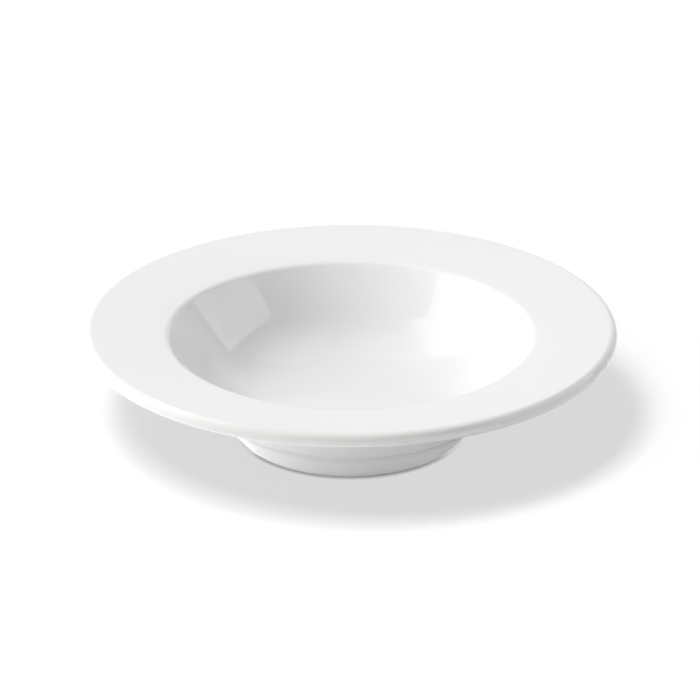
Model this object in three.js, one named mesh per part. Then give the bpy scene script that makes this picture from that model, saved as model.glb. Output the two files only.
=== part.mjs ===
// A white porcelain cereal bowl: a conical well in a wide, gently rising rim, on a flared foot.
// Millimetres, +Z up. The origin is on the table, under the middle of the bowl.
import * as THREE from "three";

// Rim and lip, measured over the glaze
const RIM_DIAMETER = 200;
const BOWL_HEIGHT = 44.5;
const RIM_RISE = 3.7;
const RIM_THICKNESS = 5;
const LIP_SHOULDER_RADIUS = 2.8;
const LIP_UNDER_RADIUS = 1.6;
const RIM_ROOT_RADIUS = 8;

// Well
const MOUTH_DIAMETER = 137.2;
const MOUTH_EDGE_RADIUS = 4;
const WALL_SLOPE_DEGREES = 50;
const WALL_THICKNESS = 5.5;
const FLOOR_HEIGHT = 12;
const FLOOR_THICKNESS = 5.5;
const FLOOR_SWEEP_RADIUS = 40;

// Foot
const FOOT_HEIGHT = 12.9;
const FOOT_FLARE_DEGREES = 41;
const FOOT_LAND_WIDTH = 3.2;
const FOOT_LAND_ROUNDING = 0.7;
const FOOT_DRAFT_DEGREES = 10;
const COLLAR_HEIGHT = 1.4;
const COLLAR_PROUD = 0.6;
const COLLAR_ROUNDING = 0.45;

// Glaze, and the bare band that it leaves at the bottom of the foot
const GLAZE_THICKNESS = 0.3;
const BARE_BAND_HEIGHT = 1.2;

// Hairline gaps between the solids
const GLAZE_GAP = 0.05;
const SEAT_GAP = 0.05;

// Fineness of the facets
const SEGMENTS = 60;
const CHORD_ERROR = 0.08;
const ROUNDED_SHARE_OF_EDGE = 0.95; // the most of an edge that the roundings at its ends take up

// Angles and unit vectors in the profile plane, where x is the radius and y the height
const wallSlope = THREE.MathUtils.degToRad(WALL_SLOPE_DEGREES);
const footFlare = THREE.MathUtils.degToRad(FOOT_FLARE_DEGREES);
const footDraft = THREE.MathUtils.degToRad(FOOT_DRAFT_DEGREES);
const level = new THREE.Vector2(1, 0);
const upright = new THREE.Vector2(0, 1);
const upWall = direction(wallSlope);

/** The unit vector that rises at an angle from the level. */
function direction(angle) {
  return new THREE.Vector2(Math.cos(angle), Math.sin(angle));
}

/** The point where the line through p along u meets the line through q along v. */
function meet(p, u, q, v) {
  const along = q.clone().sub(p).cross(v) / u.cross(v);
  return p.clone().addScaledVector(u, along);
}

/** The unit vector square to the step from a to b, on its right, where the air is. */
function airSide(a, b) {
  const step = b.clone().sub(a).normalize();
  return new THREE.Vector2(step.y, -step.x);
}

/** A corner of an outline with the radius that rounds it. */
function corner(at, rounding = 0) {
  return { at, rounding };
}

/** The angle by which an outline turns at a corner: left is positive. */
function turnAt(before, here, after) {
  const arriving = here.at.clone().sub(before.at);
  const leaving = after.at.clone().sub(here.at);
  return Math.atan2(arriving.cross(leaving), arriving.dot(leaving));
}

/** The arc that rounds a corner, from one neighbour's edge to the other's, within a reach along both. */
function arc(before, here, after, reach) {
  const turn = turnAt(before, here, after);
  const radius = reach / Math.tan(Math.abs(turn) / 2);
  const back = before.at.clone().sub(here.at).normalize();
  const start = here.at.clone().addScaledVector(back, reach);
  const centre = start.clone().addScaledVector(airSide(before.at, here.at), -radius * Math.sign(turn));
  const largestStep = 2 * Math.acos(Math.max(0, 1 - CHORD_ERROR / radius));
  const steps = Math.max(2, Math.ceil(Math.abs(turn) / largestStep));
  return Array.from({ length: steps + 1 }, (_, i) => start.clone().rotateAround(centre, (turn * i) / steps));
}

/** The outline through a row of corners, each rounded by its own radius where its edges have room. */
function outline(corners) {
  const wanted = corners.map((here, i) => {
    if (!here.rounding) return 0;
    return here.rounding * Math.tan(Math.abs(turnAt(corners[i - 1], here, corners[i + 1])) / 2);
  });
  const room = corners.slice(1).map((next, i) => {
    const edge = next.at.distanceTo(corners[i].at);
    return Math.min(1, (ROUNDED_SHARE_OF_EDGE * edge) / (wanted[i] + wanted[i + 1]));
  });
  return corners.flatMap((here, i) => {
    if (!here.rounding) return [here.at];
    return arc(corners[i - 1], here, corners[i + 1], wanted[i] * Math.min(room[i - 1], room[i]));
  });
}

/** An outline moved into the material by a depth, with its corners mitred. */
function inset(path, depth) {
  return path.map((point, i) => {
    const sides = [];
    if (i > 0) sides.push(airSide(path[i - 1], point));
    if (i < path.length - 1) sides.push(airSide(point, path[i + 1]));
    const [first, last] = [sides[0], sides.at(-1)];
    const mitre = first.clone().add(last).divideScalar(1 + first.dot(last));
    return point.clone().addScaledVector(mitre, -depth);
  });
}

// Corners of the glazed surface, from the rim inwards
const rimRadius = RIM_DIAMETER / 2;
const mouth = new THREE.Vector2(MOUTH_DIAMETER / 2, BOWL_HEIGHT - RIM_RISE);
const shoulderCentre = new THREE.Vector2(rimRadius, BOWL_HEIGHT).subScalar(LIP_SHOULDER_RADIUS);
const toShoulder = shoulderCentre.clone().sub(mouth);
const rimSlope = toShoulder.angle() + Math.asin(LIP_SHOULDER_RADIUS / toShoulder.length());
const alongRim = direction(rimSlope);
const lipEdge = new THREE.Vector2(rimRadius, 0);
const lipTop = meet(mouth, alongRim, lipEdge, upright);
const lipBottom = lipTop.clone().addScaledVector(upright, -RIM_THICKNESS / Math.cos(rimSlope));
const outsideWall = mouth.clone().add(new THREE.Vector2(upWall.y, -upWall.x).multiplyScalar(WALL_THICKNESS));
const rimRoot = meet(lipBottom, alongRim, outsideWall, upWall);
const floorMiddle = new THREE.Vector2(0, FLOOR_HEIGHT);
const floorEdge = meet(floorMiddle, level, mouth, upWall);

// Corners of the glazed foot: its flare runs down from the crease under the outside wall, and its collar
// stands out square to the flare, just below the crease
const upFlare = new THREE.Vector2(Math.sin(footFlare), Math.cos(footFlare));
const outOfFlare = new THREE.Vector2(upFlare.y, -upFlare.x);
const crease = meet(new THREE.Vector2(0, FOOT_HEIGHT), level, outsideWall, upWall);
const flareTop = meet(new THREE.Vector2(0, FOOT_HEIGHT - COLLAR_HEIGHT), level, crease, upFlare);
const collarTop = crease.clone().addScaledVector(outOfFlare, COLLAR_PROUD);
const collarBottom = flareTop.clone().addScaledVector(outOfFlare, COLLAR_PROUD);
const bareLine = new THREE.Vector2(0, BARE_BAND_HEIGHT);
const glazeEnd = meet(bareLine, level, flareTop, upFlare);

// Glazed surface outside the foot and over the bowl, with the solid on its left
const footSkin = outline([
  corner(glazeEnd),
  corner(flareTop),
  corner(collarBottom, COLLAR_ROUNDING),
  corner(collarTop, COLLAR_ROUNDING),
  corner(crease),
]);
const bowlSkin = outline([
  corner(crease),
  corner(rimRoot, RIM_ROOT_RADIUS),
  corner(lipBottom, LIP_UNDER_RADIUS),
  corner(lipTop, LIP_SHOULDER_RADIUS),
  corner(mouth, MOUTH_EDGE_RADIUS),
  corner(floorEdge, FLOOR_SWEEP_RADIUS),
  corner(floorMiddle),
]);
const outerSkin = [...footSkin, ...bowlSkin.slice(1)];

// Clay surface under the glaze, cut at the crease into foot and bowl
const clayDepth = GLAZE_THICKNESS + GLAZE_GAP;
const clay = inset(outerSkin, clayDepth);
const footClay = clay.slice(0, footSkin.length);
const bowlClay = clay.slice(footSkin.length - 1);

// Bare land that the bowl stands on, and the recess inside it
const ground = new THREE.Vector2(0, 0);
const landOutside = meet(ground, level, footClay[0], upFlare);
const landInside = landOutside.clone().addScaledVector(level, -FOOT_LAND_WIDTH);
const upRecess = new THREE.Vector2(-Math.sin(footDraft), Math.cos(footDraft));
const recessFoot = landInside.clone().addScaledVector(level, -clayDepth / Math.cos(footDraft));
const recessMiddle = new THREE.Vector2(0, FLOOR_HEIGHT - FLOOR_THICKNESS);
const recessSkin = outline([
  corner(recessMiddle),
  corner(meet(recessMiddle, level, recessFoot, upRecess)),
  corner(meet(bareLine, level, recessFoot, upRecess)),
]);
const recessClay = inset(recessSkin, clayDepth);

// Conical seat of the foot under the bowl, from the recess out to the crease
const [clayMiddle, seatInside, recessEnd] = recessClay;
const seatOutside = bowlClay[0];
const alongSeat = seatOutside.clone().sub(seatInside).normalize();
const footSeat = seatInside.clone().addScaledVector(airSide(seatInside, seatOutside), SEAT_GAP);
const footSeatInside = meet(footSeat, alongSeat, seatInside, upRecess);
const footSeatOutside = meet(footSeat, alongSeat, seatOutside, outOfFlare);

/** A named solid made by turning a profile round the upright axis. */
function turned(name, profile, look) {
  const geometry = new THREE.LatheGeometry(profile, SEGMENTS).rotateX(Math.PI / 2);
  const mesh = new THREE.Mesh(geometry, new THREE.MeshStandardMaterial(look));
  mesh.name = name;
  return mesh;
}

/** The profile of a layer of glaze that lies under a stretch of the glazed surface. */
function layer(skin) {
  return { above: skin, below: inset(skin, GLAZE_THICKNESS).reverse() };
}

const bareClay = { color: 0xf0ece4, roughness: 0.8, metalness: 0 };
const whiteGlaze = { color: 0xf6f6f4, roughness: 0.1, metalness: 0 };

/** The clay of the rim, lip, wall and floor. */
function bowlBody() {
  return turned("bowl_body", [clayMiddle, seatInside, ...bowlClay], bareClay);
}

/** The clay of the flared foot, from its seat under the bowl down to the bare land. */
function footRing() {
  const land = outline([
    corner(recessEnd),
    corner(landInside, FOOT_LAND_ROUNDING),
    corner(landOutside, FOOT_LAND_ROUNDING),
    corner(footClay[0]),
  ]);
  const flare = footClay.slice(1, -1);
  return turned("foot_ring", [footSeatInside, ...land, ...flare, footSeatOutside, footSeatInside], bareClay);
}

/** The glaze over the bowl, inside and outside, down to the bare band of the foot. */
function glazeCoat() {
  const { above, below } = layer(outerSkin);
  return turned("glaze_coat", [...below, ...above], whiteGlaze);
}

/** The glaze in the recess inside the foot. */
function recessGlaze() {
  const { above, below } = layer(recessSkin);
  return turned("foot_recess_glaze", [...above, ...below], whiteGlaze);
}

const fired = new THREE.Group();
fired.name = "fired_clay";
fired.add(bowlBody(), footRing());

const glazed = new THREE.Group();
glazed.name = "glaze";
glazed.add(glazeCoat(), recessGlaze());

const bowl = new THREE.Group();
bowl.name = "cereal_bowl";
bowl.add(fired, glazed);

export default bowl;
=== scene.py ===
"""Looks of a white porcelain cereal bowl: glazed all over, but for the ring that it stands on.

Every piece is turned round the upright axis, as the real bowl is on a potter's wheel. A profile is a row
of complex numbers in metres: the real part is the radius and the imaginary part is the height. It runs
with the clay on its left and the air on its right.
"""

import logging
import math
from collections.abc import Sequence
from dataclasses import dataclass
from enum import Enum

import bpy
import numpy as np
from mathutils import Matrix, Vector


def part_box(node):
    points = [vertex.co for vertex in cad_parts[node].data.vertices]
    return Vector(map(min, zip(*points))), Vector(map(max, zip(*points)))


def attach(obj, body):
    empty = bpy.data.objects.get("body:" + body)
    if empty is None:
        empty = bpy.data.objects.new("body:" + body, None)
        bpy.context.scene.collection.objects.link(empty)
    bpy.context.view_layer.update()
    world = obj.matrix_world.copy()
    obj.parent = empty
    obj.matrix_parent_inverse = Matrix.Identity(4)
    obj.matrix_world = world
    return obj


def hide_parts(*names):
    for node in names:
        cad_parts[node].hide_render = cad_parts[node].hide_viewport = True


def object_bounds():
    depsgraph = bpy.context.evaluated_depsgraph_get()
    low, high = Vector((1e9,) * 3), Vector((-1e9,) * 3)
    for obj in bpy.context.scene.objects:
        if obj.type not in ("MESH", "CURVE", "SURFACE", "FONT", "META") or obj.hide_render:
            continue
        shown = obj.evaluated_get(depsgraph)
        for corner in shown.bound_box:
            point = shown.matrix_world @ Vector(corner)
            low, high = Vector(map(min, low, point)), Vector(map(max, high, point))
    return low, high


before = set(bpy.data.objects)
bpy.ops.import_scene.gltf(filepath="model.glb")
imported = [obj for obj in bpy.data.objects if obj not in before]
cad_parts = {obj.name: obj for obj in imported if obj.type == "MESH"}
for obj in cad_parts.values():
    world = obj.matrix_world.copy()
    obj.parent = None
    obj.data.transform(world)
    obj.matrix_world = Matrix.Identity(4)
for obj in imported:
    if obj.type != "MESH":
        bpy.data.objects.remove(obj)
cad_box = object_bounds()

log = logging.getLogger("cereal_bowl")

MM = 0.001
BODY = "root"
SAME_PLACE = 1e-9  # metres; places nearer than this are one
STEP_SLACK = 1e-6  # share of a step by which a stretch may be longer
Colour = tuple[float, float, float, float]


class Node(Enum):
    """CAD nodes that the pieces stand for."""

    BOWL = "bowl_body"
    FOOT = "foot_ring"
    COAT = "glaze_coat"
    RECESS = "foot_recess_glaze"


class Slot(Enum):
    """Material slots of the record."""

    CLAY = "porcelain"
    GLAZE = "glaze"


class Trait(Enum):
    """Values that a mesh carries at its points, for its material."""

    THIN = "glaze_thin"
    # Glaze that pools in hollows; its darker tint there is also painted crease shade.
    POOL_AND_SHADE = "glaze_pool_and_crease_shade"
    WORN = "land_worn"


class Use(Enum):
    """What a lamp does: it lights the matt side of things, or it shows in the mirror of the glaze."""

    LIGHT = "light"
    MIRROR = "mirror"


# Profiles


@dataclass(frozen=True)
class Corner:
    """A corner of a profile, with the radius of the arc that rounds it."""

    at: complex
    rounding: float = 0.0


def rising(angle: float) -> complex:
    """Give the step of length one that rises at an angle from the level."""
    return complex(math.cos(angle), math.sin(angle))


def meet(p: complex, u: complex, q: complex, v: complex) -> complex:
    """Find where two lines cross.

    Args:
        p: A point of the first line.
        u: The first line's direction.
        q: A point of the second line.
        v: The second line's direction.

    Returns:
        The crossing, p + t u with t = (q - p) x v / u x v, where x is the cross product in the plane.
    """
    return p + u * ((q - p) * v.conjugate()).imag / (u * v.conjugate()).imag


def arc(corner: Corner, arriving: complex, leaving: complex, step: float, turn_step: float) -> np.ndarray:
    """Round a corner by the arc that touches both of its edges.

    Where the line turns by the angle a, an arc of radius R touches the edges at R tan(a / 2) from the
    corner, and its points are centre + (start - centre) e^(i a s) with s from 0 to 1.

    Args:
        corner: The corner and its radius.
        arriving: Unit step along the edge before it.
        leaving: Unit step along the edge after it.
        step: Longest step along the arc.
        turn_step: Largest turn from one step to the next, in radians.

    Returns:
        The arc's points in order.
    """
    turn = float(np.angle(leaving / arriving))
    start = corner.at - arriving * corner.rounding * math.tan(abs(turn) / 2)
    centre = start + 1j * math.copysign(corner.rounding, turn) * arriving
    count = max(2, math.ceil(abs(turn) / turn_step), math.ceil(corner.rounding * abs(turn) / step))
    return centre + (start - centre) * np.exp(1j * turn * np.linspace(0, 1, count + 1))


def cut(line: np.ndarray, step: float) -> np.ndarray:
    """Cut each stretch of a line into equal steps no longer than a given one.

    Args:
        line: Points of the line.
        step: Longest step allowed.

    Returns:
        The line with the added points.
    """
    edges = np.diff(line)
    counts = np.maximum(1, np.ceil(np.abs(edges) / step - STEP_SLACK)).astype(int)
    first = np.repeat(np.cumsum(counts) - counts, counts)
    share = (np.arange(counts.sum()) - first) / np.repeat(counts, counts)
    return np.append(np.repeat(line[:-1], counts) + share * np.repeat(edges, counts), line[-1])


def profile(
    corners: Sequence[Corner], step: float = 3 * MM, turn_step: float = math.radians(3)
) -> np.ndarray:
    """Carry a line through corners, rounding each one that has a radius.

    Args:
        corners: The corners in order.
        step: Longest step along straight stretches; arcs take steps half as long.
        turn_step: Largest turn from one step of an arc to the next, in radians.

    Returns:
        The points of the line.
    """
    places = np.array([corner.at for corner in corners])
    headings = np.diff(places) / np.abs(np.diff(places))
    stretches = [places[:1]]
    for corner, arriving, leaving in zip(corners[1:-1], headings[:-1], headings[1:]):
        if corner.rounding:
            stretches.append(arc(corner, arriving, leaving, step / 2, turn_step))
        else:
            stretches.append(np.array([corner.at]))
    stretches.append(places[-1:])
    return cut(np.concatenate(stretches), step)


def inset(line: np.ndarray, depth: float) -> np.ndarray:
    """Move a line into the clay on its left by a depth, with its corners mitred.

    Args:
        line: Points of the line.
        depth: How far to move it, square to the line.

    Returns:
        The moved points, each p + depth (m + n) / (1 + m . n) for the left normals m and n of its edges.
    """
    steps = np.diff(line)
    normals = 1j * steps / np.abs(steps)
    before = np.concatenate([normals[:1], normals])
    after = np.concatenate([normals, normals[-1:]])
    agree = (before * after.conjugate()).real
    moved = line + depth * (before + after) / (1 + agree)
    return np.where(np.abs(line.real) < SAME_PLACE, 1j * moved.imag, moved)


def bends(line: np.ndarray, blur: float) -> tuple[np.ndarray, np.ndarray]:
    """Measure how sharply a line turns, as an average over its neighbourhood.

    Args:
        line: Points of the line.
        blur: Width of the bell curve that weighs the neighbours, in metres.

    Returns:
        The turn in radians per metre at each point: to the left, on edges, and to the right, in hollows.
    """
    steps = np.diff(line)
    along = np.concatenate([[0], np.cumsum(np.abs(steps))])
    turns = np.concatenate([[0], np.angle(steps[1:] / steps[:-1]), [0]])
    apart = (along[:, None] - along[None, :]) / blur
    weights = np.exp(-(apart**2) / 2) / (blur * math.sqrt(2 * math.pi))
    return weights @ np.maximum(turns, 0), weights @ np.maximum(-turns, 0)


# Meshes


def turned_mesh(name: str, line: np.ndarray, columns: int = 240) -> bpy.types.Mesh:
    """Turn a profile round the upright axis.

    The point at place u of the profile and angle v is (r(u) cos v, r(u) sin v, z(u)). Where the profile
    starts and ends on the axis, a fan of triangles closes it round each of those points. A profile that
    does neither is closed by a row of faces from its last point back to its first.

    Args:
        name: Name of the mesh.
        line: The profile.
        columns: Number of steps round the axis.

    Returns:
        The mesh, with its faces pointing to the profile's right.
    """
    on_axis = np.abs(line.real) < SAME_PLACE
    rings = line[~on_axis]
    around = np.exp(2j * np.pi * np.arange(columns) / columns)
    flat = rings.real[:, None] * around
    heights = np.broadcast_to(rings.imag[:, None], flat.shape)
    points = np.stack([flat.real, flat.imag, heights], -1).reshape(-1, 3)
    grid = np.arange(flat.size).reshape(flat.shape)
    beside = np.roll(grid, -1, axis=1)
    quads = np.stack([grid[:-1], beside[:-1], beside[1:], grid[1:]], -1).reshape(-1, 4).tolist()
    fans = []
    if on_axis.any():
        poles = np.zeros((2, 3))
        poles[:, 2] = line[[0, -1]].imag
        first, last = len(points), len(points) + 1
        points = np.concatenate([points, poles])
        fans += np.stack([np.full(columns, first), beside[0], grid[0]], -1).tolist()
        fans += np.stack([grid[-1], beside[-1], np.full(columns, last)], -1).tolist()
    else:
        quads += np.stack([grid[-1], beside[-1], beside[0], grid[0]], -1).tolist()
    mesh = bpy.data.meshes.new(name)
    mesh.from_pydata(points.tolist(), [], quads + fans)
    mesh.shade_smooth()
    return mesh


def carry_trait(mesh: bpy.types.Mesh, trait: Trait, line: np.ndarray, values: np.ndarray) -> None:
    """Give a turned mesh a value at each point, the same all the way round the axis.

    Args:
        mesh: A mesh from turned_mesh.
        trait: The value's name.
        line: The profile that the mesh was turned from.
        values: The value at each point of the profile.
    """
    on_axis = np.abs(line.real) < SAME_PLACE
    rings = values[~on_axis]
    columns = len(mesh.vertices) // len(rings)
    spread = np.repeat(rings, columns)
    if on_axis.any():
        spread = np.concatenate([spread, values[[0, -1]]])
    attribute = mesh.attributes.new(trait.value, "FLOAT", "POINT")
    attribute.data.foreach_set("value", spread.astype(np.float32))


def show(mesh: bpy.types.Mesh, material: bpy.types.Material, node: Node) -> bpy.types.Object:
    """Put a piece in the scene in place of a CAD node.

    Args:
        mesh: The piece's mesh, in the bowl's frame.
        material: The piece's finish.
        node: The CAD node that it stands for.

    Returns:
        The piece.
    """
    piece = bpy.data.objects.new(mesh.name, mesh)
    bpy.context.scene.collection.objects.link(piece)
    mesh.materials.append(material)
    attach(piece, BODY)
    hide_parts(node.value)
    log.info("%s: %d faces, in place of %s", piece.name, len(mesh.polygons), node.value)
    return piece


# Shader building


class Shader:
    """A node tree with short ways to add nodes and join them."""

    def __init__(self, tree: bpy.types.NodeTree) -> None:
        """Start from an empty tree."""
        self.tree = tree
        tree.nodes.clear()

    def add(self, kind: str, settings: dict | None = None, **inputs: object) -> bpy.types.Node:
        """Add a node.

        Args:
            kind: Blender's name of the node's type.
            settings: Values of the node's own properties.
            **inputs: Sockets by name, with _ for a space; each is another node's output or a plain value.

        Returns:
            The node.
        """
        node = self.tree.nodes.new(kind)
        for key, value in (settings or {}).items():
            setattr(node, key, value)
        for key, value in inputs.items():
            self.feed(node.inputs[key.replace("_", " ")], value)
        return node

    def feed(self, socket: bpy.types.NodeSocket, value: object) -> None:
        """Join an output to an input, or set the input to a plain value.

        Args:
            socket: The input.
            value: Another node's output, or the plain value.
        """
        if isinstance(value, bpy.types.NodeSocket):
            self.tree.links.new(value, socket)
        else:
            socket.default_value = value

    def math(self, operation: str, *values: object) -> bpy.types.NodeSocket:
        """Work out a sum, product or the like.

        Args:
            operation: Blender's name of the operation.
            *values: Outputs of other nodes and plain numbers, in the operation's order.

        Returns:
            The output with the result.
        """
        node = self.tree.nodes.new("ShaderNodeMath")
        node.operation = operation
        for socket, value in zip(node.inputs, values):
            self.feed(socket, value)
        return node.outputs[0]

    def tint(self, blend: str, share: object, below: object, above: object) -> bpy.types.NodeSocket:
        """Lay one colour over another.

        Args:
            blend: Blender's name of the way to blend.
            share: How much of the upper colour shows.
            below: The lower colour.
            above: The upper colour.

        Returns:
            The output with the result.
        """
        node = self.tree.nodes.new("ShaderNodeMix")
        node.data_type = "RGBA"
        node.blend_type = blend
        self.feed(node.inputs["Factor"], share)
        self.feed(node.inputs["A"], below)
        self.feed(node.inputs["B"], above)
        return node.outputs["Result"]

    def trait(self, trait: Trait) -> bpy.types.NodeSocket:
        """Read a value that the mesh carries."""
        return self.add("ShaderNodeAttribute", {"attribute_name": trait.value}).outputs["Fac"]

    def place(self) -> bpy.types.NodeSocket:
        """Read the place on the piece, in metres in the bowl's frame."""
        return self.add("ShaderNodeTexCoord").outputs["Object"]

    def group(self, tree: bpy.types.NodeTree, output: str, **inputs: object) -> bpy.types.NodeSocket:
        """Place a shared group and give one of its outputs."""
        return self.add("ShaderNodeGroup", {"node_tree": tree}, **inputs).outputs[output]


def shared_group(
    name: str, inputs: dict[str, str], output: str
) -> tuple[Shader, bpy.types.Node, bpy.types.Node]:
    """Start a shader group that several materials use.

    Args:
        name: The group's name.
        inputs: Socket type of each input, by name.
        output: Name of the one output, a number.

    Returns:
        The group's tree, its input node and its output node.
    """
    tree = bpy.data.node_groups.new(name, "ShaderNodeTree")
    for key, kind in inputs.items():
        tree.interface.new_socket(key, in_out="INPUT", socket_type=kind)
    tree.interface.new_socket(output, in_out="OUTPUT", socket_type="NodeSocketFloat")
    shader = Shader(tree)
    return shader, shader.add("NodeGroupInput"), shader.add("NodeGroupOutput")


def cloud_group(falloff: float = 0.4) -> bpy.types.NodeTree:
    """Make slow unevenness.

    Args:
        falloff: How strong each finer layer of detail is, as a share of the layer before it.

    Returns:
        The group, which gives smooth noise from -1 to 1 in patches of a given size in metres.
    """
    shader, given, result = shared_group(
        "slow_cloud",
        {"Place": "NodeSocketVector", "Patch": "NodeSocketFloat", "Detail": "NodeSocketFloat"},
        "Cloud",
    )
    scale = shader.math("DIVIDE", 1.0, given.outputs["Patch"])
    noise = shader.add(
        "ShaderNodeTexNoise",
        Vector=given.outputs["Place"],
        Scale=scale,
        Detail=given.outputs["Detail"],
        Roughness=falloff,
    )
    cloud = shader.math("MULTIPLY_ADD", noise.outputs["Fac"], 2.0, -1.0)
    shader.feed(result.inputs["Cloud"], cloud)
    return shader.tree


def speck_group() -> bpy.types.NodeTree:
    """Make sparse round specks.

    Returns:
        The group, which puts a speck in the middle of a share of the cells of a random foam.
    """
    shader, given, result = shared_group(
        "kiln_specks",
        {
            "Place": "NodeSocketVector",
            "Spacing": "NodeSocketFloat",
            "Radius": "NodeSocketFloat",
            "Share": "NodeSocketFloat",
        },
        "Speck",
    )
    scale = shader.math("DIVIDE", 1.0, given.outputs["Spacing"])
    cells = shader.add("ShaderNodeTexVoronoi", Vector=given.outputs["Place"], Scale=scale)
    chance = shader.add("ShaderNodeSeparateColor", Color=cells.outputs["Color"]).outputs["Red"]
    chosen = shader.math("LESS_THAN", chance, given.outputs["Share"])
    reach = shader.math("MULTIPLY", given.outputs["Radius"], scale)
    edge = shader.add(
        "ShaderNodeMapRange",
        {"interpolation_type": "SMOOTHSTEP"},
        Value=cells.outputs["Distance"],
        From_Min=0.0,
        From_Max=reach,
        To_Min=1.0,
        To_Max=0.0,
    )
    shader.feed(result.inputs["Speck"], shader.math("MULTIPLY", edge.outputs["Result"], chosen))
    return shader.tree


@dataclass(frozen=True)
class SharedEffects:
    """Shader groups that both finishes use."""

    cloud: bpy.types.NodeTree
    specks: bpy.types.NodeTree


# Finishes


@dataclass(frozen=True)
class GlazeFinish:
    """Clear white glaze, fired glossy: crisp reflections that waver a little, with a few pinholes."""

    white: Colour = (0.84, 0.84, 0.835, 1.0)
    thin_white: Colour = (0.83, 0.825, 0.81, 1.0)
    pooled_and_shaded_white: Colour = (0.70, 0.705, 0.71, 1.0)
    speck_grey: Colour = (0.42, 0.40, 0.38, 1.0)
    roughness: float = 0.012
    inner_roughness: float = 0.4
    refraction: float = 1.5
    cloud_patch: float = 45 * MM
    cloud_detail: float = 2.0
    cloud_shade: float = 0.006
    cloud_roughness: float = 0.003
    ripple_patch: float = 22 * MM
    ripple_height: float = 0.0015 * MM
    peel_patch: float = 2.6 * MM
    peel_height: float = 0.0006 * MM
    pinhole_spacing: float = 7 * MM
    pinhole_radius: float = 0.22 * MM
    pinhole_share: float = 0.16
    pinhole_depth: float = 0.02 * MM
    pinhole_stain: float = 0.6
    pinhole_roughness: float = 0.3

    def material(self, effects: SharedEffects) -> bpy.types.Material:
        """Make the material.

        Args:
            effects: The shared groups.

        Returns:
            The material, which reads the traits of thin glaze and of glaze that pools in hollows, greyer
            there also as painted crease shade.
        """
        material = bpy.data.materials.new("white_glaze")
        material.use_nodes = True
        shader = Shader(material.node_tree)
        place = shader.place()
        cloud = shader.group(
            effects.cloud, "Cloud", Place=place, Patch=self.cloud_patch, Detail=self.cloud_detail
        )
        pinholes = shader.group(
            effects.specks,
            "Speck",
            Place=place,
            Spacing=self.pinhole_spacing,
            Radius=self.pinhole_radius,
            Share=self.pinhole_share,
        )
        ripple = shader.group(effects.cloud, "Cloud", Place=place, Patch=self.ripple_patch, Detail=0.0)
        peel = shader.group(effects.cloud, "Cloud", Place=place, Patch=self.peel_patch, Detail=0.0)
        thin = shader.tint("MIX", shader.trait(Trait.THIN), self.white, self.thin_white)
        # Greyer glaze in hollows: partly pooling, partly painted crease shade, such as the dark lines at the
        # foot's collar.
        pooled_shaded = shader.tint("MIX", shader.trait(Trait.POOL_AND_SHADE), thin, self.pooled_and_shaded_white)
        shade = shader.math("MULTIPLY_ADD", cloud, self.cloud_shade, 1.0)
        greys = shader.add("ShaderNodeCombineColor", Red=shade, Green=shade, Blue=shade).outputs["Color"]
        clouded = shader.tint("MULTIPLY", 1.0, pooled_shaded, greys)
        stain = shader.math("MULTIPLY", pinholes, self.pinhole_stain)
        colour = shader.tint("MIX", stain, clouded, self.speck_grey)
        rough = shader.math("MULTIPLY_ADD", cloud, self.cloud_roughness, self.roughness)
        rough = shader.math("MULTIPLY_ADD", pinholes, self.pinhole_roughness, rough)
        bounced = shader.add("ShaderNodeLightPath").outputs["Is Glossy Ray"]
        rough = shader.math("MULTIPLY_ADD", bounced, self.inner_roughness, rough)
        height = shader.math("MULTIPLY", ripple, self.ripple_height)
        height = shader.math("MULTIPLY_ADD", peel, self.peel_height, height)
        height = shader.math("MULTIPLY_ADD", pinholes, -self.pinhole_depth, height)
        bump = shader.add("ShaderNodeBump", Height=height, Distance=1.0, Strength=1.0)
        surface = shader.add(
            "ShaderNodeBsdfPrincipled",
            Base_Color=colour,
            Roughness=rough,
            IOR=self.refraction,
            Normal=bump.outputs["Normal"],
        )
        shader.add("ShaderNodeOutputMaterial", Surface=surface.outputs[0])
        return material


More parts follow.
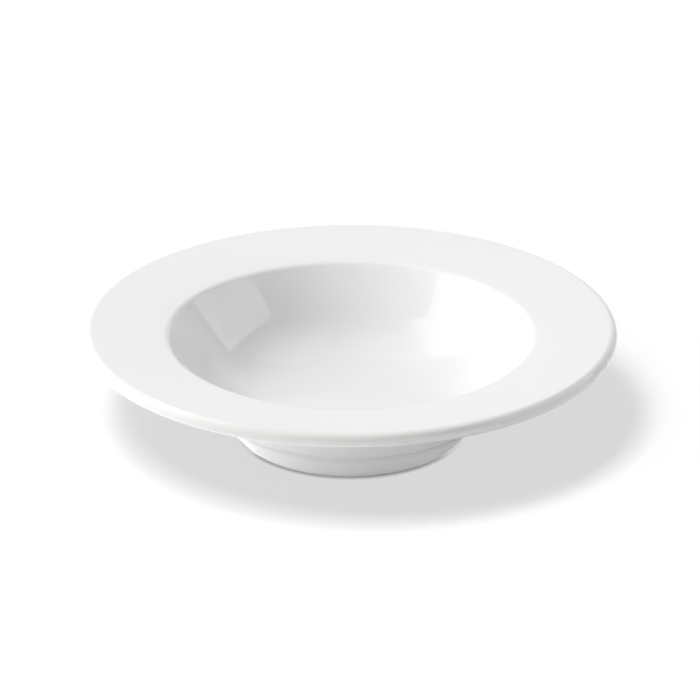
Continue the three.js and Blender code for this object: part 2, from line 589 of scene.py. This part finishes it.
@dataclass(frozen=True)
class ClayFinish:
    """Bare fired porcelain: matt and faintly sandy, rubbed grey where it stands."""

    cream: Colour = (0.82, 0.80, 0.76, 1.0)
    dark_grain: Colour = (0.66, 0.63, 0.58, 1.0)
    rubbed: Colour = (0.60, 0.59, 0.57, 1.0)
    roughness: float = 0.72
    detail: float = 2.0
    grain_patch: float = 0.5 * MM
    grain_height: float = 0.012 * MM
    grain_share: float = 0.12
    grain_swing: float = 0.10
    grain_roughness: float = 0.06
    rub_patch: float = 9 * MM
    rub_share: float = 0.45
    rub_swing: float = 0.25
    speck_spacing: float = 2.2 * MM
    speck_radius: float = 0.16 * MM
    speck_share: float = 0.35
    speck_stain: float = 0.5

    def material(self, effects: SharedEffects) -> bpy.types.Material:
        """Make the material.

        Args:
            effects: The shared groups.

        Returns:
            The material, which reads the trait of worn clay.
        """
        material = bpy.data.materials.new("bare_porcelain")
        material.use_nodes = True
        shader = Shader(material.node_tree)
        place = shader.place()
        grain = shader.group(effects.cloud, "Cloud", Place=place, Patch=self.grain_patch, Detail=self.detail)
        cloud = shader.group(effects.cloud, "Cloud", Place=place, Patch=self.rub_patch, Detail=self.detail)
        specks = shader.group(
            effects.specks,
            "Speck",
            Place=place,
            Spacing=self.speck_spacing,
            Radius=self.speck_radius,
            Share=self.speck_share,
        )
        sand = shader.math("MULTIPLY_ADD", grain, self.grain_swing, self.grain_share)
        sandy = shader.tint("MIX", sand, self.cream, self.dark_grain)
        patchy = shader.math("MULTIPLY_ADD", cloud, self.rub_swing, self.rub_share)
        rub = shader.math("MULTIPLY", shader.trait(Trait.WORN), patchy)
        worn = shader.tint("MIX", rub, sandy, self.rubbed)
        stain = shader.math("MULTIPLY", specks, self.speck_stain)
        colour = shader.tint("MIX", stain, worn, self.dark_grain)
        rough = shader.math("MULTIPLY_ADD", grain, self.grain_roughness, self.roughness)
        height = shader.math("MULTIPLY", grain, self.grain_height)
        bump = shader.add("ShaderNodeBump", Height=height, Distance=1.0, Strength=1.0)
        surface = shader.add(
            "ShaderNodeBsdfPrincipled",
            Base_Color=colour,
            Roughness=rough,
            Normal=bump.outputs["Normal"],
        )
        shader.add("ShaderNodeOutputMaterial", Surface=surface.outputs[0])
        return material


# The bowl


@dataclass(frozen=True)
class BowlForm:
    """Driving sizes of the bowl over its glaze, in metres and radians, and the lines that follow."""

    rim_radius: float
    height: float
    bare_band: float
    recess_ceiling: float
    rim_rise: float = 3.7 * MM
    rim_thickness: float = 5 * MM
    lip_shoulder: float = 2.8 * MM
    lip_under: float = 1.6 * MM
    rim_root: float = 8 * MM
    mouth_radius: float = 68.6 * MM
    mouth_edge: float = 4 * MM
    wall_slope: float = math.radians(50)
    wall_thickness: float = 5.5 * MM
    floor_height: float = 12 * MM
    floor_sweep: float = 40 * MM
    foot_height: float = 12.9 * MM
    foot_flare: float = math.radians(41)
    collar_height: float = 1.6 * MM
    collar_proud: float = 0.2 * MM
    collar_slant: float = 0.2 * MM
    collar_rounding: float = 0.36 * MM
    collar_hollow: float = 0.3 * MM
    land_width: float = 3.2 * MM
    land_rounding: float = 0.7 * MM
    recess_draft: float = math.radians(10)
    recess_corner: float = 2.5 * MM
    glaze_thickness: float = 0.3 * MM
    glaze_gap: float = 0.05 * MM
    glaze_edge: float = 0.1 * MM

    @classmethod
    def from_frame(cls) -> "BowlForm":
        """Take the overall sizes from the CAD nodes, so that the looks fit the frame.

        Returns:
            The sizes.
        """
        low, high = cad_box
        recess_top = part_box(Node.RECESS.value)[1].z
        return cls(
            rim_radius=(high.x - low.x) / 2,
            height=high.z,
            bare_band=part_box(Node.COAT.value)[0].z,
            recess_ceiling=recess_top - cls.glaze_thickness,
        )

    @property
    def clay_depth(self) -> float:
        """Depth of the clay under the glazed surface."""
        return self.glaze_thickness + self.glaze_gap

    @property
    def up_wall(self) -> complex:
        """Unit step up the wall."""
        return rising(self.wall_slope)

    @property
    def up_flare(self) -> complex:
        """Unit step up the foot's flare."""
        return rising(math.pi / 2 - self.foot_flare)

    @property
    def up_recess(self) -> complex:
        """Unit step up the wall of the recess, which leans inwards."""
        return rising(math.pi / 2 + self.recess_draft)

    @property
    def mouth(self) -> complex:
        """Corner between the well and the rim."""
        return complex(self.mouth_radius, self.height - self.rim_rise)

    @property
    def outside_wall(self) -> complex:
        """A point of the outside wall, square across from the mouth."""
        return self.mouth - 1j * self.up_wall * self.wall_thickness

    @property
    def crease(self) -> complex:
        """Corner between the outside wall and the foot's collar."""
        return meet(1j * self.foot_height, 1, self.outside_wall, self.up_wall)

    @property
    def glaze_end(self) -> complex:
        """End of the glaze on the outside of the foot."""
        return meet(1j * self.bare_band, 1, self.crease, self.up_flare)

    def foot_corners(self) -> list[Corner]:
        """List the corners of the glazed foot, up to the crease.

        Returns:
            The corners: the collar stands out from the flare just below the crease, with slanted sides.
        """
        out = -1j * self.up_flare * self.collar_proud
        slant = self.up_flare * self.collar_slant
        flare_top = meet(1j * (self.foot_height - self.collar_height), 1, self.crease, self.up_flare)
        return [
            Corner(self.glaze_end),
            Corner(flare_top, self.collar_hollow),
            Corner(flare_top + out + slant, self.collar_rounding),
            Corner(self.crease + out - slant, self.collar_rounding),
            Corner(self.crease, self.collar_hollow),
        ]

    def bowl_corners(self) -> list[Corner]:
        """List the corners of the glazed bowl, from above the crease over the lip and into the well.

        Returns:
            The corners, down to the middle of the floor.
        """
        shoulder = complex(self.rim_radius, self.height) - self.lip_shoulder * (1 + 1j)
        to_shoulder = shoulder - self.mouth
        along_rim = rising(float(np.angle(to_shoulder)) + math.asin(self.lip_shoulder / abs(to_shoulder)))
        lip_top = meet(self.mouth, along_rim, complex(self.rim_radius), 1j)
        lip_bottom = lip_top - 1j * self.rim_thickness / along_rim.real
        root = meet(lip_bottom, along_rim, self.outside_wall, self.up_wall)
        floor_edge = meet(1j * self.floor_height, 1, self.mouth, self.up_wall)
        return [
            Corner(root, self.rim_root),
            Corner(lip_bottom, self.lip_under),
            Corner(lip_top, self.lip_shoulder),
            Corner(self.mouth, self.mouth_edge),
            Corner(floor_edge, self.floor_sweep),
            Corner(1j * self.floor_height),
        ]

    def outer_skin(self) -> np.ndarray:
        """Draw the glazed surface from the foot over the lip to the middle of the floor."""
        return profile(self.foot_corners() + self.bowl_corners())

    def land_outside(self) -> complex:
        """Find the outer edge of the bare land on the table."""
        clay = self.glaze_end + 1j * self.up_flare * self.clay_depth
        return meet(0, 1, clay, self.up_flare)

    def recess_skin(self) -> np.ndarray:
        """Draw the glazed surface of the recess.

        Returns:
            The line from the middle of the recess down to the bare band.
        """
        inside = self.land_outside() - self.land_width - self.clay_depth / math.cos(self.recess_draft)
        ceiling = 1j * self.recess_ceiling
        return profile([
            Corner(ceiling),
            Corner(meet(ceiling, 1, inside, self.up_recess), self.recess_corner),
            Corner(meet(1j * self.bare_band, 1, inside, self.up_recess)),
        ])


@dataclass(frozen=True)
class GlazeCoats:
    """The two areas of glaze: over the bowl, and in the recess of the foot."""

    form: BowlForm
    hidden_step: int = 3
    edge_blur: float = 0.6 * MM
    thin_bend: float = 1 / (2 * MM)
    # Bend at which a hollow takes the full pooled tint, with its painted crease shade.
    pool_shade_bend: float = 1 / (1.1 * MM)

    def layer(self, skin: np.ndarray) -> np.ndarray:
        """Close a glazed surface by the surface where the glaze meets the clay.

        Args:
            skin: The glazed surface.

        Returns:
            The profile of the layer, with its free end rounded and few points on its hidden side.
        """
        under = inset(skin, self.form.glaze_thickness)
        under = np.append(under[:-1:self.hidden_step], under[-1])
        first, last = (skin, under[::-1]) if abs(skin[0].real) < SAME_PLACE else (under[::-1], skin)
        joint = [first[-1], last[0]]
        ends = [Corner(first[-2]), *(Corner(at, self.form.glaze_edge) for at in joint), Corner(last[1])]
        return np.concatenate([first[:-1], profile(ends)[1:-1], last[1:]])

    def build(self, name: str, skin: np.ndarray) -> bpy.types.Mesh:
        """Turn a layer of glaze and mark where it runs thin and where it pools.

        Args:
            name: Name of the mesh.
            skin: The glazed surface.

        Returns:
            The mesh.
        """
        line = self.layer(skin)
        mesh = turned_mesh(name, line)
        edges, hollows = bends(line, self.edge_blur)
        carry_trait(mesh, Trait.THIN, line, np.minimum(edges / self.thin_bend, 1))
        carry_trait(mesh, Trait.POOL_AND_SHADE, line, np.minimum(hollows / self.pool_shade_bend, 1))
        return mesh

    def dress(self, glaze: bpy.types.Material) -> None:
        """Build both areas and finish them in glaze."""
        show(self.build("bowl_glaze", self.form.outer_skin()), glaze, Node.COAT)
        show(self.build("recess_glaze", self.form.recess_skin()), glaze, Node.RECESS)


@dataclass(frozen=True)
class FiredClay:
    """The two pieces of porcelain under the glaze: the bowl, and the foot luted on under it."""

    form: BowlForm
    seat_gap: float = 0.05 * MM
    worn_height: float = 0.25 * MM

    def build(self) -> tuple[bpy.types.Mesh, bpy.types.Mesh]:
        """Turn both pieces, which part on a cone from the recess out to the crease.

        Returns:
            The bowl's mesh and the foot's mesh.
        """
        form = self.form
        skin = form.outer_skin()
        clay = inset(skin, form.clay_depth)
        split = int(np.argmin(np.abs(skin - form.crease)))
        recess_clay = inset(form.recess_skin(), form.clay_depth)
        seat_in, seat_out = recess_clay[np.argmax(recess_clay.imag + recess_clay.real)], clay[split]
        along = (seat_out - seat_in) / abs(seat_out - seat_in)
        drop = -1j * along * self.seat_gap
        level = recess_clay[recess_clay.imag >= seat_in.imag - SAME_PLACE]
        bowl = np.concatenate([level[level.real <= seat_in.real], [seat_in], clay[split:]])
        inside = recess_clay[recess_clay.imag < seat_in.imag]
        land_out = form.land_outside()
        land = profile([
            Corner(inside[-1]),
            Corner(land_out - form.land_width, form.land_rounding),
            Corner(land_out, form.land_rounding),
            Corner(clay[0]),
        ])
        foot = np.concatenate([[seat_in + drop], inside[:-1], land, clay[1:split], [seat_out + drop]])
        foot_mesh = turned_mesh("foot_clay", foot)
        carry_trait(foot_mesh, Trait.WORN, foot, np.exp(-((foot.imag / self.worn_height) ** 2)))
        bowl_mesh = turned_mesh("bowl_clay", bowl)
        carry_trait(bowl_mesh, Trait.WORN, bowl, np.zeros(len(bowl)))
        return bowl_mesh, foot_mesh

    def dress(self, clay: bpy.types.Material) -> None:
        """Build both pieces and finish them in bare porcelain.

        Args:
            clay: The finish.
        """
        bowl_mesh, foot_mesh = self.build()
        show(bowl_mesh, clay, Node.BOWL)
        show(foot_mesh, clay, Node.FOOT)


# The studio


def facing(azimuth: float, elevation: float, roll: float) -> tuple[Vector, Vector, Vector]:
    """Turn a plane to face the bowl.

    Args:
        azimuth: Its direction from the bowl, in degrees clockwise from straight behind.
        elevation: Its direction above the level, in degrees.
        roll: Turn of the plane in itself, in degrees.

    Returns:
        Unit steps away from the bowl, across the plane to the right and along it upwards.
    """
    a, e, t = (math.radians(angle) for angle in (azimuth, elevation, roll))
    out = Vector((math.sin(a) * math.cos(e), math.cos(a) * math.cos(e), math.sin(e)))
    level = Vector((math.cos(a), -math.sin(a), 0))
    upward = Vector((-math.sin(a) * math.sin(e), -math.cos(a) * math.sin(e), math.cos(e)))
    across = level * math.cos(t) + upward * math.sin(t)
    return out, across, upward * math.cos(t) - level * math.sin(t)


@dataclass(frozen=True)
class Card:
    """A flat glowing card that shows in the mirror of the glaze alone, on a plane like a softbox's."""

    name: str
    azimuth: float
    elevation: float
    roll: float
    distance: float
    radiance: float
    corners: tuple[tuple[float, float], ...]

    def build(self) -> None:
        """Hang the card: each corner (u, v) is u across and v along from the foot of its direction."""
        out, across, along = facing(self.azimuth, self.elevation, self.roll)
        points = [out * self.distance + across * u + along * v for u, v in self.corners]
        material = bpy.data.materials.new(self.name)
        material.use_nodes = True
        shader = Shader(material.node_tree)
        glow = shader.add("ShaderNodeEmission", Strength=self.radiance)
        shader.add("ShaderNodeOutputMaterial", Surface=glow.outputs[0])
        mesh = bpy.data.meshes.new(self.name)
        mesh.from_pydata(points, [], [tuple(range(len(points)))])
        mesh.materials.append(material)
        card = bpy.data.objects.new(self.name, mesh)
        card.visible_camera = card.visible_diffuse = card.visible_transmission = card.visible_shadow = False
        bpy.context.scene.collection.objects.link(card)
        log.info("card %s at radiance %.2f", self.name, self.radiance)


@dataclass(frozen=True)
class Softbox:
    """A flat rectangle of even light on a plane that faces the bowl.

    The plane lies square to the direction given by an azimuth, clockwise from straight behind the bowl,
    and an elevation. The edges are distances on the plane from the foot of that direction: right is
    clockwise seen from above and up is towards the zenith, both turned by the roll.
    """

    name: str
    azimuth: float
    elevation: float
    roll: float
    distance: float
    left: float
    right: float
    bottom: float
    top: float
    radiance: float
    use: Use

    def build(self) -> bpy.types.Object:
        """Make the lamp, hidden from the camera.

        Returns:
            The lamp, whose power is pi times area times radiance.
        """
        out, across, along = facing(self.azimuth, self.elevation, self.roll)
        middle = across * (self.left + self.right) / 2 + along * (self.bottom + self.top) / 2
        light = bpy.data.lights.new(self.name, "AREA")
        light.shape = "RECTANGLE"
        light.size, light.size_y = self.right - self.left, self.top - self.bottom
        light.energy = math.pi * light.size * light.size_y * self.radiance
        lamp = bpy.data.objects.new(self.name, light)
        lamp.matrix_world = Matrix((-across, along, out)).transposed().to_4x4()
        lamp.location = out * self.distance + middle
        lamp.visible_camera = False
        lamp.visible_glossy = self.use is Use.MIRROR
        lamp.visible_diffuse = self.use is Use.LIGHT
        bpy.context.scene.collection.objects.link(lamp)
        log.info("lamp %s at radiance %.2f", self.name, self.radiance)
        return lamp


@dataclass(frozen=True)
class Studio:
    """White floor on a light table, soft light and the camera."""

    floor_reach: float = 4.0
    shown_matt: Colour = (0.03, 0.03, 0.03, 1.0)
    # Glow of the sheet to look at: lower round the bowl's shadow as painted shade, and darkened by the foot
    # as a painted contact shadow.
    shown_glow: tuple[float, float] = (0.675, 0.95)
    shadow_middle: tuple[float, float, float] = (11.8 * MM, 23.3 * MM, 0.0)
    glow_span: tuple[float, float] = (112 * MM, 300 * MM)
    contact_reach: float = 1.7 * MM
    contact_power: float = 0.5
    contact_fade: tuple[float, float] = (20 * MM, 31 * MM)
    side_contact: float = 0.88
    bounce_matt: Colour = (0.85, 0.85, 0.85, 1.0)
    # Glow of the sheet that lights the bowl, seen only in the glaze's mirror: painted light and shade of the
    # table.
    mirrored_painted_light: tuple[float, float] = (0.86, 0.46)
    mirrored_fade: tuple[float, float] = (-60 * MM, 40 * MM)
    mirrored_end: tuple[float, float] = (27 * MM, 52 * MM)
    outer_painted_light: float = 0.5
    outer_fade: tuple[float, float] = (58 * MM, 85 * MM)
    backdrop: float = 1.0
    backdrop_top: float = math.radians(18)
    ceiling_from: float = math.radians(38)
    ceiling: float = 0.86
    ambient: tuple[float, float] = (0.52, 0.30)
    ceiling_right: float = 0.15
    right_span: tuple[float, float] = (0.25, 0.5)
    eye_distance: float = 1.5
    eye_elevation: float = math.radians(25.1)
    aim_height: float = 33.36 * MM
    aim_across: float = -0.2 * MM
    lens: float = 203.4
    sensor: float = 36.0
    softboxes: tuple[Softbox, ...] = (
        Softbox(
            name="left_softbox", azimuth=-98.4, elevation=44.1, roll=15.4, distance=1.0,
            left=-0.02, right=0.775, bottom=-0.55, top=0.28, radiance=1.75, use=Use.LIGHT,
        ),
        Softbox(
            name="right_softbox", azimuth=70.0, elevation=36.4, roll=29.0, distance=1.0,
            left=-0.36, right=0.75, bottom=-0.5, top=0.07, radiance=0.7, use=Use.LIGHT,
        ),
        Softbox(
            name="overhead_panel", azimuth=0.0, elevation=90.0, roll=0.0, distance=1.2,
            left=-0.78, right=0.78, bottom=-0.9, top=-0.04, radiance=0.6, use=Use.MIRROR,
        ),
        Softbox(
            name="back_left_light", azimuth=-60.0, elevation=55.0, roll=0.0, distance=1.8,
            left=-0.35, right=0.35, bottom=-0.35, top=0.35, radiance=10.8, use=Use.LIGHT,
        ),
        Softbox(
            name="low_fill", azimuth=-120.0, elevation=12.0, roll=0.0, distance=1.8,
            left=-0.45, right=0.45, bottom=-0.3, top=0.3, radiance=5.3, use=Use.LIGHT,
        ),
    )
    cards: tuple[Card, ...] = (
        Card(
            name="left_card", azimuth=-98.4, elevation=44.1, roll=15.4, distance=1.0, radiance=2.6,
            corners=((-0.04, 0.29), (0.757, 0.262), (0.8, -0.55), (-0.04, -0.55)),
        ),
        Card(
            name="right_card", azimuth=70.0, elevation=36.4, roll=29.0, distance=1.0, radiance=1.95,
            corners=((-0.31, 0.11), (0.75, 0.03), (0.75, -0.5), (-0.295, -0.5)),
        ),
    )
    floor_lamp: Softbox = Softbox(
        name="floor_lamp", azimuth=-153.0, elevation=58.5, roll=0.0, distance=1.78,
        left=-0.21, right=0.21, bottom=-0.3, top=0.3, radiance=496.0, use=Use.LIGHT,
    )

    def shown_material(self) -> bpy.types.Material:
        """Make the sheet to look at: a light table that glows less round the bowl's shadow, as painted
        shade, and less close to its foot, as a painted contact shadow.

        Returns:
            The material; seen from below the sheet is clear.
        """
        material = bpy.data.materials.new("light_table")
        material.use_nodes = True
        shader = Shader(material.node_tree)
        # Painted shade: the glow is lower round the middle of the bowl's shadow and rises away from it.
        offset = shader.add("ShaderNodeVectorMath", {"operation": "DISTANCE"})
        shader.feed(offset.inputs[0], shader.place())
        shader.feed(offset.inputs[1], self.shadow_middle)
        glow = self.fade(shader, offset.outputs["Value"], self.glow_span, self.shown_glow)
        # Painted contact shadow: ambient occlusion darkens the glow close to the foot, less at the foot's
        # left and right ends.
        nook = shader.add("ShaderNodeAmbientOcclusion", Distance=self.contact_reach).outputs["AO"]
        depth = shader.add("ShaderNodeSeparateXYZ", Vector=shader.place()).outputs["Y"]
        away = shader.math("ABSOLUTE", depth)
        beside = self.fade(shader, away, self.contact_fade, (self.side_contact, 0.0))
        contact = shader.math("MAXIMUM", shader.math("POWER", nook, self.contact_power), beside)
        strength = shader.math("MULTIPLY", glow, contact)
        both = shader.add("ShaderNodeAddShader")
        shader.feed(both.inputs[0], shader.add("ShaderNodeBsdfDiffuse", Color=self.shown_matt).outputs[0])
        shader.feed(both.inputs[1], shader.add("ShaderNodeEmission", Strength=strength).outputs[0])
        self.clear_below(shader, both.outputs[0])
        return material

    def bounce_material(self) -> bpy.types.Material:
        """Make the sheet that lights the bowl: matt white, with an uneven glow in the glaze's mirror that is
        painted light and shade.

        Returns:
            The material, which glows most on the left as painted light and not at all just right of the foot
            as painted shade; seen from below the sheet is clear.
        """
        material = bpy.data.materials.new("white_table")
        material.use_nodes = True
        shader = Shader(material.node_tree)
        # Painted light and shade in the glaze's reflection: bright on the left, dark just right of the foot,
        # and some glow again further right.
        across = shader.add("ShaderNodeSeparateXYZ", Vector=shader.place()).outputs["X"]
        glow = self.fade(shader, across, self.mirrored_fade, self.mirrored_painted_light)
        glow = shader.math("MULTIPLY", glow, self.fade(shader, across, self.mirrored_end, (1.0, 0.0)))
        glow = shader.math("ADD", glow, self.fade(shader, across, self.outer_fade, (0.0, self.outer_painted_light)))
        mirrored = shader.add("ShaderNodeLightPath").outputs["Is Glossy Ray"]
        both = shader.add("ShaderNodeAddShader")
        shader.feed(both.inputs[0], shader.add("ShaderNodeBsdfDiffuse", Color=self.bounce_matt).outputs[0])
        strength = shader.math("MULTIPLY", glow, mirrored)
        shader.feed(both.inputs[1], shader.add("ShaderNodeEmission", Strength=strength).outputs[0])
        self.clear_below(shader, both.outputs[0])
        return material

    def fade(
        self, shader: Shader, value: object, span: tuple[float, float], ends: tuple[float, float]
    ) -> bpy.types.NodeSocket:
        """Fade from one number to another.

        Args:
            shader: The tree.
            value: The output that drives the fade.
            span: Where the fade starts and stops.
            ends: The numbers there.

        Returns:
            The output, which keeps to the ends outside the span.
        """
        node = shader.add("ShaderNodeMapRange", Value=value, From_Min=span[0], From_Max=span[1])
        shader.feed(node.inputs["To Min"], ends[0])
        shader.feed(node.inputs["To Max"], ends[1])
        return node.outputs["Result"]

    def clear_below(self, shader: Shader, surface: bpy.types.NodeSocket) -> None:
        """Finish a sheet's material: its surface seen from above, and nothing seen from below.

        Args:
            shader: The material's tree.
            surface: The surface seen from above.
        """
        below = shader.add("ShaderNodeNewGeometry").outputs["Backfacing"]
        mixed = shader.add("ShaderNodeMixShader", Fac=below)
        shader.feed(mixed.inputs[1], surface)
        shader.feed(mixed.inputs[2], shader.add("ShaderNodeBsdfTransparent").outputs[0])
        shader.add("ShaderNodeOutputMaterial", Surface=mixed.outputs[0])

    def sheet(self, name: str, material: bpy.types.Material, looked_at: bool) -> bpy.types.Object:
        """Lay a sheet at the height of the table.

        Args:
            name: Name of the sheet.
            material: Its material.
            looked_at: True for the sheet that the camera sees, False for the one that the bowl sees.

        Returns:
            The sheet.
        """
        reach = self.floor_reach
        corners = [(-reach, -reach, 0), (reach, -reach, 0), (reach, reach, 0), (-reach, reach, 0)]
        mesh = bpy.data.meshes.new(name)
        mesh.from_pydata(corners, [], [(0, 1, 2, 3)])
        mesh.materials.append(material)
        sheet = bpy.data.objects.new(name, mesh)
        sheet.visible_camera = looked_at
        sheet.visible_diffuse = sheet.visible_glossy = sheet.visible_transmission = not looked_at
        sheet.visible_shadow = False
        bpy.context.scene.collection.objects.link(sheet)
        return sheet

    def build_floor(self) -> None:
        """Lay the floor: the sheet to look at has its own lamp, which casts the bowl's shadow on it."""
        lit = bpy.data.collections.new("lit_by_floor_lamp")
        lit.objects.link(self.sheet("floor", self.shown_material(), True))
        self.floor_lamp.build().light_linking.receiver_collection = lit
        self.sheet("floor_bounce", self.bounce_material(), False)

    def build_world(self) -> None:
        """Surround the bowl with a white backdrop, a ceiling that is dimmer on the right, and even light."""
        world = bpy.data.worlds.new("studio")
        world.use_nodes = True
        shader = Shader(world.node_tree)
        path = shader.add("ShaderNodeLightPath")
        glossy, clear = path.outputs["Is Glossy Ray"], path.outputs["Is Transmission Ray"]
        mirrored = shader.math("MAXIMUM", glossy, clear)
        seen = shader.math("MAXIMUM", path.outputs["Is Camera Ray"], mirrored)
        direction = shader.add("ShaderNodeTexCoord").outputs["Generated"]
        heading = shader.add("ShaderNodeSeparateXYZ", Vector=direction)
        height = heading.outputs["Z"]
        span = (math.sin(self.backdrop_top), math.sin(self.ceiling_from))
        right = self.fade(shader, heading.outputs["X"], self.right_span, (self.ceiling, self.ceiling_right))
        ceiling = shader.add("ShaderNodeMix", Factor=mirrored, A=self.ceiling, B=right).outputs["Result"]
        shown = self.fade(shader, height, span, (self.backdrop, ceiling))
        ambient = self.fade(shader, height, span, self.ambient)
        strength = shader.add("ShaderNodeMix", Factor=seen, A=ambient, B=shown).outputs["Result"]
        glow = shader.add("ShaderNodeBackground", Color=(1.0, 1.0, 1.0, 1.0), Strength=strength)
        shader.add("ShaderNodeOutputWorld", Surface=glow.outputs[0])
        bpy.context.scene.world = world

    def build_camera(self) -> None:
        """Stand the camera in front of the bowl, looking down at it."""
        data = bpy.data.cameras.new("camera")
        data.lens, data.sensor_width = self.lens, self.sensor
        camera = bpy.data.objects.new("camera", data)
        bearing = rising(self.eye_elevation) * self.eye_distance
        camera.location = (self.aim_across, -bearing.real, bearing.imag)
        aim = Vector((self.aim_across, 0, self.aim_height)) - camera.location
        camera.rotation_euler = aim.to_track_quat("-Z", "Y").to_euler()
        bpy.context.scene.collection.objects.link(camera)
        bpy.context.scene.camera = camera

    def build(self) -> None:
        """Set up the floor, the light and the camera."""
        self.build_floor()
        self.build_world()
        for light in self.softboxes + self.cards:
            light.build()
        self.build_camera()
        bpy.context.scene.view_settings.view_transform = "Standard"


def main() -> None:
    """Build the bowl's pieces in order, then the studio."""
    logging.basicConfig(level=logging.INFO, format="%(name)s: %(message)s")
    effects = SharedEffects(cloud=cloud_group(), specks=speck_group())
    form = BowlForm.from_frame()
    FiredClay(form).dress(ClayFinish().material(effects))
    GlazeCoats(form).dress(GlazeFinish().material(effects))
    Studio().build()


if __name__ == "__main__":
    main()
